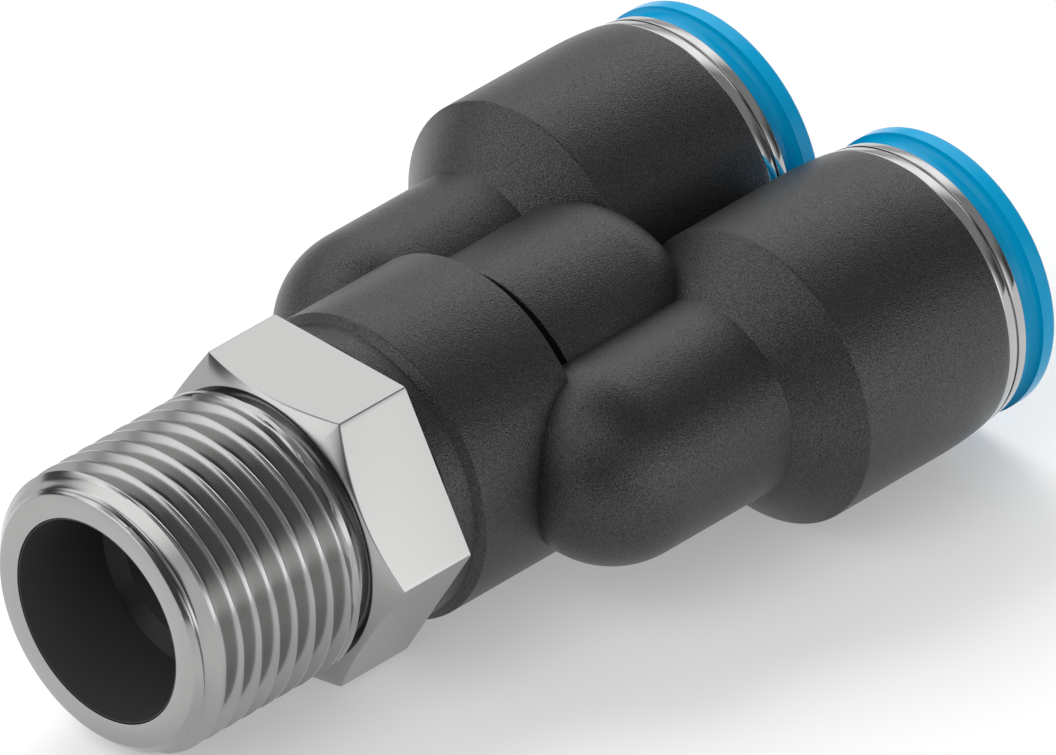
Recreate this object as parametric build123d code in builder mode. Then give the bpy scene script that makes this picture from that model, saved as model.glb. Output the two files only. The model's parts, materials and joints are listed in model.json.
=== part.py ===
from build123d import *
from math import cos, pi, radians, tan
import os

# Push-in Y fitting: a threaded metal stud swivels on a plastic body that feeds two tube ports.
# Millimetres. X runs along the fitting from the thread's end face (X = 0) to the tube ports,
# Y spreads the two ports, Z is up. Every place along X is worked out from the lengths below.

# Threaded stud, outside
thread_d = 16.66            # major diameter of a 3/8 inch taper pipe thread
thread_length = 11.45       # end face to the thread's last full diameter
thread_chamfer = 1.0        # lead-in bevel at the end face
undercut_depth = 0.93       # thread relief, below the major diameter
undercut_width = 0.97
hex_sides = 6
hex_across_flats = 17.0
hex_length = 5.91
hex_front_d = 16.4          # hexagon's round front face, where its bevel starts
hex_bevel_angle = 30.0      # bevel, measured from the front face

# Threaded stud, inside
thread_wall = 2.33          # major radius down to the stud's bore
stud_running_clearance = 0.06
wire_d = 0.9                # round wire of the retaining ring
wire_place = 10.0           # wire's centre, from the end face
wire_arc = 325.0            # the ring is open over the rest of its turn
wire_offset = 0.02          # wire's centre circle, inside the stud's bore
wire_clearance = 0.15
o_ring_section = 1.04
o_ring_clearance = 0.06     # to the spigot that it seals and to its groove's floor
o_ring_side_clearance = 0.2
o_ring_place = 3.3          # groove's centre, ahead of the hexagon's rear face

# Plastic spigot inside the stud
spigot_recess = 0.05        # spigot stops this far inside the end face
spigot_wall = 1.34
mouth_wall = 0.3            # thinner wall of the widened mouth
mouth_depth = 6.0
mouth_cone_length = 0.6
stud_end_gap = 0.06         # hexagon's rear face to the neck

# Body's neck, barrel, slot and central part
neck_length = 1.52
barrel_step = 0.48          # neck radius up to the barrel
barrel_bevel = 0.4
barrel_length = 8.0
slot_width = 1.4
slot_depth = 2.08           # below the barrel's surface
core_step = 1.38            # barrel's surface down to the central part
core_length = 11.2
core_round = 3.2
core_end_wall = 2.9
bore_end_bevel = 1.2

# Branches of the body
passage_d = 8.6
window_overlap = 0.77       # how far each passage cuts into the main bore
lobe_wall = 1.475
nose_offset = 1.7           # barrel's end to the centre of the round nose
passage_run_out = 2.0       # passage starts this far ahead of that centre
passage_bevel = 0.8
lobe_length = 7.95
cone_length = 2.95
socket_length = 8.1
taper_length = 2.93
taper_drop = 0.2
socket_gap = 0.2            # between the two sockets
socket_rib_height = 3.0
socket_rib_width = 1.0
rib_root = 2.0              # rib starts this far inside the central part's end

# Tube port, from the tube outwards
tube_d = 10.0
tube_bore_clearance = 0.05
tooth_clearance = 0.06
ring_bore_clearance = 0.15
ring_wall = 1.05
head_step = 0.8
head_clearance = 0.15
collar_wall = 0.5
collar_seat_clearance = 0.03
socket_wall = 1.0
lip_clearance = 0.2

# Tube port, along its axis
tube_socket_depth = 13.7    # socket's mouth to the tube stop
seal_seat_depth = 8.9       # socket's mouth to the seal's seat
seal_chamber_wall = 1.95    # tube bore out to the seal's chamber
seal_width = 2.5
seal_clearance = 0.04
seal_notch_depth = 1.0
seal_notch_width = 0.9
seal_heel = 0.35            # seal's bore opens by this much at its back
washer_thickness = 0.7
washer_bore_clearance = 0.25
washer_end_play = 0.05

# Metal collar
collar_band = 1.47
collar_step = 0.03
collar_draft = 0.17
collar_mouth_wall = 0.33
collar_groove_width = 0.16
collar_groove_depth = 0.16
collar_edge = 0.08
lip_thickness = 1.0
lip_front_wall = 0.3        # collar's back face to the lip's front
lip_cone_length = 1.9

# Release ring and its slotted fingers
release_travel = 0.9
rim_gap = 0.35              # left between rim and collar when pressed home
rim_step = 0.05
rim_width = 1.05
rim_round = 0.35
neck_clearance = 0.25
neck_round = 0.6
lead_in = 0.85
press_clearance = 0.08      # left at the lip when pressed home
head_end_clearance = 0.25   # left at the washer when pressed home
head_bevel = 0.3
head_seat_gap = 0.15        # along the axis, between the heads and the collar's cone
finger_count = 6
finger_slot_width = 0.8
finger_root = 0.6           # solid ring between the slots and the neck

# Steel gripping teeth in the fingers
tooth_thickness = 0.36
tooth_height = 1.1
tooth_place = 0.3           # from the finger's end
tooth_clearance_in_pocket = 0.03
tooth_side_margin = 0.25

# Radii of the run, from the outside in
thread_r = thread_d / 2
undercut_r = thread_r - undercut_depth
stud_bore_r = thread_r - thread_wall
spigot_r = stud_bore_r - stud_running_clearance
main_bore_r = spigot_r - spigot_wall
mouth_bore_r = spigot_r - mouth_wall
hex_flat_r = hex_across_flats / 2
hex_corner_r = hex_flat_r / cos(pi / hex_sides)
neck_r = hex_flat_r
barrel_r = neck_r + barrel_step
slot_r = barrel_r - slot_depth
core_r = barrel_r - core_step
passage_r = passage_d / 2
lobe_r = passage_r + lobe_wall
wire_circle_r = stud_bore_r - wire_offset
wire_groove_half = wire_d / 2 + wire_clearance
o_ring_circle_r = spigot_r + o_ring_clearance + o_ring_section / 2
o_ring_groove_r = o_ring_circle_r + o_ring_section / 2 + o_ring_clearance
o_ring_groove_half = o_ring_section / 2 + o_ring_side_clearance

# Radii of a port, from the tube outwards
tube_r = tube_d / 2
tube_bore_r = tube_r + tube_bore_clearance
tooth_tip_r = tube_r + tooth_clearance
ring_bore_r = tube_r + ring_bore_clearance
finger_r = ring_bore_r + ring_wall
lip_r = finger_r + lip_clearance
head_r = finger_r + head_step
collar_bore_r = head_r + head_clearance
collar_sleeve_r = collar_bore_r + collar_wall
collar_seat_r = collar_sleeve_r + collar_seat_clearance
socket_r = collar_seat_r + socket_wall
mouth_r = socket_r - taper_drop
collar_back_r = mouth_r - collar_step
collar_front_r = collar_back_r - collar_draft
collar_mouth_r = collar_front_r - collar_mouth_wall
rim_r = collar_front_r + rim_step
ring_neck_r = collar_mouth_r - neck_clearance
seal_chamber_r = tube_bore_r + seal_chamber_wall
branch_y = socket_r + socket_gap / 2
passage_y = main_bore_r - window_overlap + passage_r

# Places along X, from the thread's end face
undercut_x = thread_length
hex_front_x = undercut_x + undercut_width
hex_rear_x = hex_front_x + hex_length
o_ring_x = hex_rear_x - o_ring_place
neck_x = hex_rear_x + stud_end_gap
barrel_x = neck_x + neck_length
barrel_full_x = barrel_x + barrel_bevel
barrel_end_x = barrel_full_x + barrel_length
core_x = barrel_end_x + slot_width
core_end_x = core_x + core_length
nose_x = barrel_end_x + nose_offset
cone_x = nose_x + lobe_length
socket_x = cone_x + cone_length
taper_x = socket_x + socket_length
mouth_x = taper_x + taper_length
stop_x = mouth_x - tube_socket_depth
seal_x = mouth_x - seal_seat_depth
washer_x = seal_x + seal_width + 2 * seal_clearance
sleeve_x = washer_x + washer_thickness + washer_end_play
lip_front_x = mouth_x + lip_front_wall
lip_back_x = lip_front_x - lip_thickness
lip_cone_x = lip_back_x - lip_cone_length
collar_end_x = mouth_x + collar_band
ring_neck_x = lip_front_x + release_travel + press_clearance
rim_back_x = collar_end_x + release_travel + rim_gap
ring_front_x = rim_back_x + rim_width
finger_x = sleeve_x + release_travel + head_end_clearance
head_cone_x = lip_cone_x - head_seat_gap
finger_root_x = ring_neck_x - finger_root
tooth_x = finger_x + tooth_place


def branch_axis(side):
    """The axis of one port, +1 for the left and -1 for the right."""
    return Axis((0, side * branch_y, 0), (1, 0, 0))


def branch_plane(side):
    """The plane in which a port's round pieces are drawn, with its origin on the port's axis."""
    return Plane((0, side * branch_y, 0))


def cross_plane(x, y=0.0):
    """A plane across the fitting at x, centred on the axis at y."""
    return Plane((x, y, 0), x_dir=(0, 1, 0), z_dir=(1, 0, 0))


def finish(part, name):
    """Label a finished piece and write it."""
    part.label = name
    export_step(part, f"parts/{name}.step")


os.makedirs("parts", exist_ok=True)

# Threaded stud: hexagon with a conical front bevel, thread blank, relief and through bore
bevel_length = (hex_corner_r - hex_front_d / 2) * tan(radians(hex_bevel_angle))
with BuildPart() as threaded_stud:
    with BuildSketch(cross_plane(hex_front_x)):
        RegularPolygon(hex_corner_r, hex_sides)
    extrude(amount=hex_length)
    with BuildSketch(Plane.XY):
        with BuildLine():
            Polyline(
                (hex_front_x, 0),
                (hex_front_x, hex_front_d / 2),
                (hex_front_x + bevel_length, hex_corner_r),
                (hex_rear_x, hex_corner_r),
                (hex_rear_x, 0),
                close=True,
            )
        make_face()
    revolve(axis=Axis.X, mode=Mode.INTERSECT)
    with BuildSketch(Plane.XY):
        with BuildLine():
            Polyline(
                (0, 0),
                (0, thread_r - thread_chamfer),
                (thread_chamfer, thread_r),
                (undercut_x, thread_r),
                (undercut_x, undercut_r),
                (hex_front_x, undercut_r),
                (hex_front_x, 0),
                close=True,
            )
        make_face()
    revolve(axis=Axis.X)
    with BuildSketch(Plane.XY):
        with BuildLine():
            Polyline(
                (-thread_chamfer, 0),
                (-thread_chamfer, stud_bore_r),
                (wire_place - wire_groove_half, stud_bore_r),
                (wire_place - wire_groove_half, wire_circle_r + wire_groove_half),
                (wire_place + wire_groove_half, wire_circle_r + wire_groove_half),
                (wire_place + wire_groove_half, stud_bore_r),
                (o_ring_x - o_ring_groove_half, stud_bore_r),
                (o_ring_x - o_ring_groove_half, o_ring_groove_r),
                (o_ring_x + o_ring_groove_half, o_ring_groove_r),
                (o_ring_x + o_ring_groove_half, stud_bore_r),
                (hex_rear_x + thread_chamfer, stud_bore_r),
                (hex_rear_x + thread_chamfer, 0),
                close=True,
            )
        make_face()
    revolve(axis=Axis.X, mode=Mode.SUBTRACT)
finish(threaded_stud.part, "threaded_stud")

# O-ring in the stud's inner groove, on the spigot
with BuildPart() as stud_o_ring:
    with BuildSketch(Plane.XY):
        with Locations((o_ring_x, o_ring_circle_r)):
            Circle(o_ring_section / 2)
    revolve(axis=Axis.X)
finish(stud_o_ring.part, "stud_o_ring")

# Open wire ring, half in the spigot's groove and half in the stud's
with BuildPart() as stud_retaining_ring:
    with BuildSketch(Plane.XY):
        with Locations((wire_place, wire_circle_r)):
            Circle(wire_d / 2)
    revolve(axis=Axis.X, revolution_arc=wire_arc)
finish(stud_retaining_ring.part, "stud_retaining_ring")

# Moulded body: spigot, neck, barrel, slot and central part on the run's axis,
# two round-nosed lobes that open by a cone into the sockets, and the passages inside
with BuildPart() as y_body:
    with BuildSketch(Plane.XY):
        with BuildLine():
            Polyline(
                (core_end_x, core_r - core_round),
                (core_end_x, 0),
                (spigot_recess, 0),
                (spigot_recess, spigot_r),
                (wire_place - wire_groove_half, spigot_r),
                (wire_place - wire_groove_half, wire_circle_r - wire_groove_half),
                (wire_place + wire_groove_half, wire_circle_r - wire_groove_half),
                (wire_place + wire_groove_half, spigot_r),
                (neck_x, spigot_r),
                (neck_x, neck_r),
                (barrel_x, neck_r),
                (barrel_full_x, barrel_r),
                (barrel_end_x, barrel_r),
                (barrel_end_x, slot_r),
                (core_x, slot_r),
                (core_x, core_r),
                (core_end_x - core_round, core_r),
            )
            TangentArc(
                (core_end_x - core_round, core_r),
                (core_end_x, core_r - core_round),
                tangent=(1, 0),
            )
        make_face()
    revolve(axis=Axis.X)
    for side in (1, -1):
        with BuildSketch(branch_plane(side)):
            with BuildLine():
                TangentArc((nose_x - lobe_r, 0), (nose_x, lobe_r), tangent=(0, 1))
                Polyline((nose_x, lobe_r), (cone_x, lobe_r), (socket_x, socket_r), (taper_x, socket_r))
                TangentArc((taper_x, socket_r), (mouth_x, mouth_r), tangent=(1, 0))
                Polyline((mouth_x, mouth_r), (mouth_x, 0), (nose_x - lobe_r, 0))
            make_face()
        revolve(axis=branch_axis(side))
    with BuildSketch(cross_plane(core_end_x - rib_root)):
        Rectangle(socket_rib_width, socket_rib_height)
    extrude(amount=taper_x - core_end_x + rib_root)
    with BuildSketch(Plane.XY):
        with BuildLine():
            Polyline(
                (spigot_recess, 0),
                (spigot_recess, mouth_bore_r),
                (mouth_depth, mouth_bore_r),
                (mouth_depth + mouth_cone_length, main_bore_r),
                (core_end_x - core_end_wall - bore_end_bevel, main_bore_r),
                (core_end_x - core_end_wall, main_bore_r - bore_end_bevel),
                (core_end_x - core_end_wall, 0),
                close=True,
            )
        make_face()
    revolve(axis=Axis.X, mode=Mode.SUBTRACT)
    for side in (1, -1):
        passage_axis = Axis((0, side * passage_y, 0), (1, 0, 0))
        passage_x = nose_x - passage_run_out
        with BuildSketch(Plane((0, side * passage_y, 0))):
            with BuildLine():
                Polyline(
                    (passage_x, 0),
                    (passage_x, passage_r - passage_bevel),
                    (passage_x + passage_bevel, passage_r),
                    (stop_x, passage_r),
                    (stop_x, 0),
                    close=True,
                )
            make_face()
        revolve(axis=passage_axis, mode=Mode.SUBTRACT)
        with BuildSketch(branch_plane(side)):
            with BuildLine():
                Polyline(
                    (stop_x, 0),
                    (stop_x, tube_bore_r),
                    (seal_x, tube_bore_r),
                    (seal_x, seal_chamber_r),
                    (washer_x, seal_chamber_r),
                    (washer_x, collar_seat_r),
                    (mouth_x, collar_seat_r),
                    (mouth_x, 0),
                    close=True,
                )
            make_face()
        revolve(axis=branch_axis(side), mode=Mode.SUBTRACT)
finish(y_body.part, "y_body")

# The pieces of each port, in the order in which they go in
for side, word in ((1, "left"), (-1, "right")):
    axis = branch_axis(side)
    plane = branch_plane(side)

    # Lip seal: its notch faces the pressure and its inner lip rides on the tube
    seal_front_x = seal_x + seal_clearance
    seal_outer_r = seal_chamber_r - seal_clearance
    seal_inner_r = tube_r + tooth_clearance
    seal_middle_r = (seal_outer_r + seal_inner_r) / 2
    with BuildPart() as tube_seal:
        with BuildSketch(plane):
            with BuildLine():
                Polyline(
                    (seal_front_x, seal_inner_r),
                    (seal_front_x, seal_middle_r - seal_notch_width / 2),
                    (seal_front_x + seal_notch_depth, seal_middle_r),
                    (seal_front_x, seal_middle_r + seal_notch_width / 2),
                    (seal_front_x, seal_outer_r),
                    (seal_front_x + seal_width, seal_outer_r),
                    (seal_front_x + seal_width, seal_inner_r + seal_heel),
                    (seal_front_x + seal_width - seal_heel, seal_inner_r),
                    close=True,
                )
            make_face()
        revolve(axis=axis)
    finish(tube_seal.part, f"tube_seal_{word}")

    # Washer that keeps the seal in its chamber, held by the collar's inner end
    with BuildPart() as seal_washer:
        with BuildSketch(cross_plane(washer_x, side * branch_y)):
            Circle(collar_sleeve_r)
            Circle(tube_r + washer_bore_clearance, mode=Mode.SUBTRACT)
        extrude(amount=washer_thickness)
    finish(seal_washer.part, f"seal_washer_{word}")

    # Metal collar pressed into the socket: grooved band outside, lip and locking cone inside
    groove_x = mouth_x + collar_band / 2
    groove_r = collar_back_r - collar_draft / 2 - collar_groove_depth
    groove_half = collar_groove_width / 2
    with BuildPart() as port_collar:
        with BuildSketch(plane):
            with BuildLine():
                Polyline(
                    (sleeve_x, collar_bore_r),
                    (sleeve_x, collar_sleeve_r),
                    (mouth_x, collar_sleeve_r),
                    (mouth_x, collar_back_r),
                    (groove_x - groove_half, collar_back_r - collar_draft / 2),
                    (groove_x - groove_half, groove_r),
                    (groove_x + groove_half, groove_r),
                    (groove_x + groove_half, collar_back_r - collar_draft / 2),
                    (collar_end_x - collar_edge, collar_front_r),
                    (collar_end_x, collar_front_r - collar_edge),
                    (collar_end_x, collar_mouth_r + collar_edge),
                    (collar_end_x - collar_edge, collar_mouth_r),
                    (lip_front_x, collar_mouth_r),
                    (lip_front_x, lip_r + collar_edge),
                    (lip_front_x - collar_edge, lip_r),
                    (lip_back_x, lip_r),
                    (lip_cone_x, collar_bore_r),
                    close=True,
                )
            make_face()
        revolve(axis=axis)
    finish(port_collar.part, f"port_collar_{word}")

    # Release ring: flange, neck and six sprung fingers whose heads lock behind the collar's lip
    tooth_pocket_r = tooth_tip_r + tooth_height + tooth_clearance_in_pocket
    with BuildPart() as release_ring:
        with BuildSketch(plane):
            with BuildLine():
                TangentArc(
                    (ring_front_x, rim_r - rim_round),
                    (ring_front_x - rim_round, rim_r),
                    tangent=(0, 1),
                )
                Polyline(
                    (ring_front_x - rim_round, rim_r),
                    (rim_back_x, rim_r),
                    (rim_back_x, ring_neck_r + neck_round),
                )
                TangentArc(
                    (rim_back_x, ring_neck_r + neck_round),
                    (rim_back_x - neck_round, ring_neck_r),
                    tangent=(0, -1),
                )
                Polyline(
                    (rim_back_x - neck_round, ring_neck_r),
                    (ring_neck_x, ring_neck_r),
                    (ring_neck_x, finger_r),
                    (head_cone_x + lip_cone_length, finger_r),
                    (head_cone_x, head_r),
                    (finger_x + head_bevel, head_r),
                    (finger_x, head_r - head_bevel),
                    (finger_x, ring_bore_r),
                    (tooth_x - tooth_clearance_in_pocket, ring_bore_r),
                    (tooth_x - tooth_clearance_in_pocket, tooth_pocket_r),
                    (tooth_x + tooth_thickness + tooth_clearance_in_pocket, tooth_pocket_r),
                    (tooth_x + tooth_thickness + tooth_clearance_in_pocket, ring_bore_r),
                    (ring_front_x - lead_in, ring_bore_r),
                    (ring_front_x, ring_bore_r + lead_in),
                    (ring_front_x, rim_r - rim_round),
                )
            make_face()
        revolve(axis=axis)
        with BuildSketch(cross_plane(finger_x, side * branch_y)):
            with PolarLocations((ring_bore_r + head_r) / 2, finger_count):
                Rectangle(head_r - ring_bore_r + ring_wall, finger_slot_width)
        extrude(amount=finger_root_x - finger_x, mode=Mode.SUBTRACT)
    finish(release_ring.part, f"release_ring_{word}")

    # Steel teeth, one in each finger's pocket
    with BuildPart() as grip_teeth:
        with BuildSketch(plane):
            with BuildLine():
                Polyline(
                    (tooth_x, tooth_tip_r + tooth_thickness),
                    (tooth_x, tooth_tip_r + tooth_height),
                    (tooth_x + tooth_thickness, tooth_tip_r + tooth_height),
                    (tooth_x + tooth_thickness, tooth_tip_r),
                    close=True,
                )
            make_face()
        revolve(axis=axis)
        with BuildSketch(cross_plane(tooth_x, side * branch_y)):
            with PolarLocations(tooth_tip_r + tooth_height / 2, finger_count):
                Rectangle(2 * tooth_height, finger_slot_width + 2 * tooth_side_margin)
        extrude(amount=tooth_thickness, mode=Mode.SUBTRACT)
    finish(grip_teeth.part, f"grip_teeth_{word}")
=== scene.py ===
import json
import math

import bmesh
import bpy
import numpy as np
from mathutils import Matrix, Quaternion, Vector

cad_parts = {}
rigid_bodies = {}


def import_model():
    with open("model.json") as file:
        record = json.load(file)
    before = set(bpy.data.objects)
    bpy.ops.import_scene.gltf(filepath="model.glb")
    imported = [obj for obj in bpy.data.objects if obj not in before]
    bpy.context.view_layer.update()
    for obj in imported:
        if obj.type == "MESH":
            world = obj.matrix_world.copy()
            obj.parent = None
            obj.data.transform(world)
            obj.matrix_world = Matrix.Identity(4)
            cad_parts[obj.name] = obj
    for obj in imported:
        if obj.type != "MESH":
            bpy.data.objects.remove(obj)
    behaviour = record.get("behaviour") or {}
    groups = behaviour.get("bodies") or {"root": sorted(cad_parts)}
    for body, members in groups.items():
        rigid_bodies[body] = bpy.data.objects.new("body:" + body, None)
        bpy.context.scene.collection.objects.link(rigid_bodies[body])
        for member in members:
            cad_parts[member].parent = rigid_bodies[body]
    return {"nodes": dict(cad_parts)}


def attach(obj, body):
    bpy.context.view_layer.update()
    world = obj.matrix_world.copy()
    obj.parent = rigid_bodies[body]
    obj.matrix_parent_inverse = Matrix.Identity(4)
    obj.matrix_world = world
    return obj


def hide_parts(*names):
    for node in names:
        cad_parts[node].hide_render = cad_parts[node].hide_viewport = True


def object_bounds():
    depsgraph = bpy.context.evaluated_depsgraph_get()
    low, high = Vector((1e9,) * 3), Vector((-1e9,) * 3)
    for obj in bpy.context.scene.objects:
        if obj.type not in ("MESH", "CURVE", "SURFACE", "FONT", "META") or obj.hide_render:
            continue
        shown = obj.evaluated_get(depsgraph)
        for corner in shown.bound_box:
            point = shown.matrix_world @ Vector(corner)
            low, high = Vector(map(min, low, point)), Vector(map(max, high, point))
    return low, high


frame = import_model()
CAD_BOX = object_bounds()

# Finished surfaces, materials, light and camera for the push-in tubing Y connector.
# X runs from the thread's end face to the ports, +Y is the left port, Z is up.

bl_info = {
    "name": "Tubing Y connector",
    "version": (1, 0, 0),
    "blender": (4, 5, 0),
    "location": "3D View > Sidebar > Connector",
    "description": "Builds the finished pieces of a push-in tubing Y connector around its packed solids",
    "category": "Add Mesh",
}

MM = 0.001

# Threaded stud, in millimetres
THREAD_R = 8.33
THREAD_END_R = 7.33
THREAD_CHAMFER = 1.0
THREAD_START = 0.04
THREAD_END = 11.45
UNDERCUT_R = 7.40
HEX_FRONT = 12.42
HEX_REAR = 18.33
HEX_FLAT_R = 8.5
HEX_FRONT_R = 8.2
HEX_BEVEL = math.radians(30)
STUD_BORE_R = 6.0
WIRE_GROOVE = (9.4, 10.6, 6.58, 5.38)
O_RING_GROOVE = (14.31, 15.75, 7.1)
HEX_FRONT_SOFT = 0.07
HEX_ARC_SOFT = 0.09
HEX_REAR_SOFT = 0.04
FLANK_HALF_ANGLE = math.radians(27.5)
RUN_OUT = 10.6
RUN_OUT_LENGTH = 0.5
CREST_ROWS = 1
ROWS_PER_PITCH = 18
COLUMNS = 360

# Moulded body, in millimetres
SPIGOT_FRONT = 0.05
SPIGOT_R = 5.94
NECK = (18.39, 19.91, 8.5)
BARREL = (20.31, 28.31, 8.98)
SLOT_R = 6.9
CORE = (29.71, 40.91, 7.6)
CORE_ROUND = 3.2
NOSE_X = 30.01
LOBE_R = 5.775
CONE_X = 37.96
SOCKET_X = 40.91
SOCKET_R = 8.68
TAPER_X = 49.01
MOUTH_X = 51.94
MOUTH_R = 8.48
RIB = (38.91, 49.01, 1.0, 3.0)
BRANCH_Y = 8.78

# Body's passages, in millimetres
MOUTH_BORE = (6.0, 5.64)
MOUTH_LEAD_IN = 2.0
MAIN_BORE_X = 6.6
MAIN_BORE_R = 4.6
MAIN_BORE_END = (36.81, 38.01, 3.4)
PASSAGE_Y = 8.13
PASSAGE_X = 28.01
PASSAGE_R = 4.3
PASSAGE_BEVEL = 0.8
STOP_X = 38.24
TUBE_BORE_R = 5.05
SEAL_X = 43.04
SEAL_CHAMBER_R = 7.0
WASHER_X = 45.62
COLLAR_SEAT_R = 7.68

# Painted shade on the spigot bore's ledge (darker) and painted light in the passage behind it (lighter)
# Painted shade hides the lit ledge and painted light lifts the passage out of the dark of its depth
LEDGE_PAINTED_SHADE = "060606"
PASSAGE_PAINTED_LIGHT = "4c4c4d"

# Columns of faces round each turned form
BODY_COLUMNS = 288
BORE_COLUMNS = 192
PASSAGE_COLUMNS = 128
PORT_COLUMNS = 256

# Metal collar of a port, in millimetres
SLEEVE_X = 46.37
SLEEVE_R = 7.65
COLLAR_BORE_R = 7.15
COLLAR_BACK_R = 8.45
COLLAR_FRONT_R = 8.28
COLLAR_MOUTH_R = 7.95
COLLAR_END = 53.41
GROOVE = (52.595, 52.755, 0.16)
LIP = (49.34, 51.24, 52.24, 6.4)

# Release ring of a port, in millimetres
RIM_R = 8.33
RIM_BACK = 54.66
RING_FRONT = 55.71
RIM_ROUND = 0.35
RING_NECK_R = 7.7
RING_NECK_X = 53.22
NECK_ROUND = 0.6
FINGER_R = 6.2
HEAD_R = 7.0
HEAD_CONE = (49.19, 51.09)
FINGER_X = 47.52
FINGER_ROOT = 52.62
HEAD_BEVEL = 0.3
RING_BORE_R = 5.15
LEAD_IN = 0.85
TOOTH_POCKET = (47.79, 48.21, 6.19)
FINGERS = 6
FINGER_SLOT = 0.8

# Camera solved on the photograph: turn and height round the object, roll, and in millimetres the aim,
# the distance, the lens and its sensor. The clipping is in metres.
CAMERA_AZIMUTH = math.radians(-45.197)
CAMERA_ELEVATION = math.radians(34.373)
CAMERA_ROLL = math.radians(-0.151)
CAMERA_AIM = (30.56, -1.94, 1.70)
CAMERA_DISTANCE = 1449.3
CAMERA_LENS = 922.0
CAMERA_SENSOR = 36.0
CAMERA_CLIP = (0.05, 50.0)

# Softboxes round the object: brightness, azimuth, half width, lower and upper edge in degrees
SOFTBOXES = (
    (1.3, 73, 62, 20, 60),
    (1.5, 155, 20, -2, 36),
    (0.6, 30, 18, -2, 16),
    (1.75, -76, 27, -4, 20),
    (1.7, 180, 30, 46, 72),
    (0.5, -112, 16, 10, 56),
    (0.22, -25, 45, 20, 76),
)

# How far in degrees a softbox fades to each side of its upright edges, and of its lower and upper ones
SOFTBOX_EDGE = (13, 9)

# Lamps: size and distance in metres, and the way each stands from the middle of the part
LAMP_AIM = (0.028, 0.0, 0.0)
LAMP_DISTANCE = 0.7
KEY_LAMP = (0.4, (0.3, 0.65, 0.75))
FRONT_LAMP = (0.5, (-0.75, -0.2, 0.6))

# Floor: radius in millimetres, sides, and how far in metres from the middle it turns to plain white
FLOOR_R = 4000
FLOOR_SIDES = 96
FLOOR_FADE = (0.03, 0.075)

# Finished pieces: points nearer than this in metres are merged, and edges steeper than this stay sharp
MERGE_DISTANCE = 2e-6
SHARP_ANGLE = math.radians(32)


# Small helpers for sections, meshes and nodes

def linear(code):
    """An sRGB hex colour as linear RGBA."""
    parts = [int(code[i:i + 2], 16) / 255 for i in (0, 2, 4)]
    return tuple(c / 12.92 if c <= 0.04045 else ((c + 0.055) / 1.055) ** 2.4 for c in parts) + (1.0,)


def rounded(corners, steps=4):
    """The (x, r, radius) corners of a section as (x, r) points, each corner rounded by its radius."""
    points = []
    for i, (x, r, radius) in enumerate(corners):
        here = np.array((x, r))
        if radius == 0:
            points.append(here)
            continue
        back = np.array(corners[i - 1][:2]) - here
        ahead = np.array(corners[(i + 1) % len(corners)][:2]) - here
        back, ahead = back / np.linalg.norm(back), ahead / np.linalg.norm(ahead)
        half = math.acos(np.clip(back @ ahead, -1, 1)) / 2
        middle = here + (back + ahead) / np.linalg.norm(back + ahead) * radius / math.sin(half)
        start = here + back * radius / math.tan(half) - middle
        end = here + ahead * radius / math.tan(half) - middle
        first = math.atan2(start[1], start[0])
        turn = (math.atan2(end[1], end[0]) - first + math.pi) % (2 * math.pi) - math.pi
        for k in range(steps + 1):
            a = first + turn * k / steps
            points.append(middle + radius * np.array((math.cos(a), math.sin(a))))
    return points


def arc(x, r, radius, start, end, steps):
    """Points of an arc round (x, r), between two angles in degrees."""
    return [
        (x + radius * math.cos(a), r + radius * math.sin(a))
        for a in np.radians(np.linspace(start, end, steps + 1))
    ]


def turned(section, columns, centre_y=0.0):
    """Vertices and faces of a closed (x, r) section turned about an axis along X."""
    section = [tuple(map(float, p)) for p in section]
    area = sum(a[0] * b[1] - b[0] * a[1] for a, b in zip(section, section[1:] + section[:1]))
    if area < 0:
        section = section[::-1]
    angles = np.arange(columns) * 2 * math.pi / columns
    points, rings = [], []
    for x, r in section:
        if r < 1e-6:
            rings.append([len(points)] * columns)
            points.append((x, centre_y, 0.0))
        else:
            rings.append(list(range(len(points), len(points) + columns)))
            points += [(x, centre_y + r * math.cos(a), r * math.sin(a)) for a in angles]
    faces = []
    for low, high in zip(rings, rings[1:] + rings[:1]):
        if low[0] == low[1] and high[0] == high[1]:
            continue
        for j in range(columns):
            k = (j + 1) % columns
            face = [low[j], high[j], high[k], low[k]]
            faces.append([v for n, v in enumerate(face) if v not in face[:n]])
    return points, faces


def mesh_of(name, points, faces):
    """A mesh of points in millimetres."""
    mesh = bpy.data.meshes.new(name)
    mesh.from_pydata([tuple(c * MM for c in p) for p in points], [], faces)
    return mesh


def place(name, mesh):
    """A new object at the origin, in the scene."""
    obj = bpy.data.objects.new(name, mesh)
    bpy.context.scene.collection.objects.link(obj)
    return obj


def baked(obj, name):
    """The evaluated object as a new plain object, in place of it."""
    graph = bpy.context.evaluated_depsgraph_get()
    mesh = bpy.data.meshes.new_from_object(obj.evaluated_get(graph), depsgraph=graph)
    mesh.name = name
    bpy.data.objects.remove(obj)
    return place(name, mesh)


def carved(name, base, tools, operation):
    """An object of base joined with or cut by the tools, exactly. All of these are (points, faces)."""
    shop = bpy.data.collections.new("shop")
    obj = place(name, mesh_of(name, *base))
    for points, faces in tools:
        shop.objects.link(bpy.data.objects.new("tool", mesh_of("tool", points, faces)))
    cut = obj.modifiers.new("cut", "BOOLEAN")
    cut.operation = operation
    cut.solver = "EXACT"
    cut.operand_type = "COLLECTION"
    cut.collection = shop
    result = baked(obj, name)
    for tool in list(shop.objects):
        bpy.data.objects.remove(tool)
    bpy.data.collections.remove(shop)
    return result


def raw(obj):
    """An object's points in millimetres and its faces. The object is removed."""
    points = [tuple(c / MM for c in v.co) for v in obj.data.vertices]
    faces = [list(p.vertices) for p in obj.data.polygons]
    bpy.data.objects.remove(obj)
    return points, faces


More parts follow.
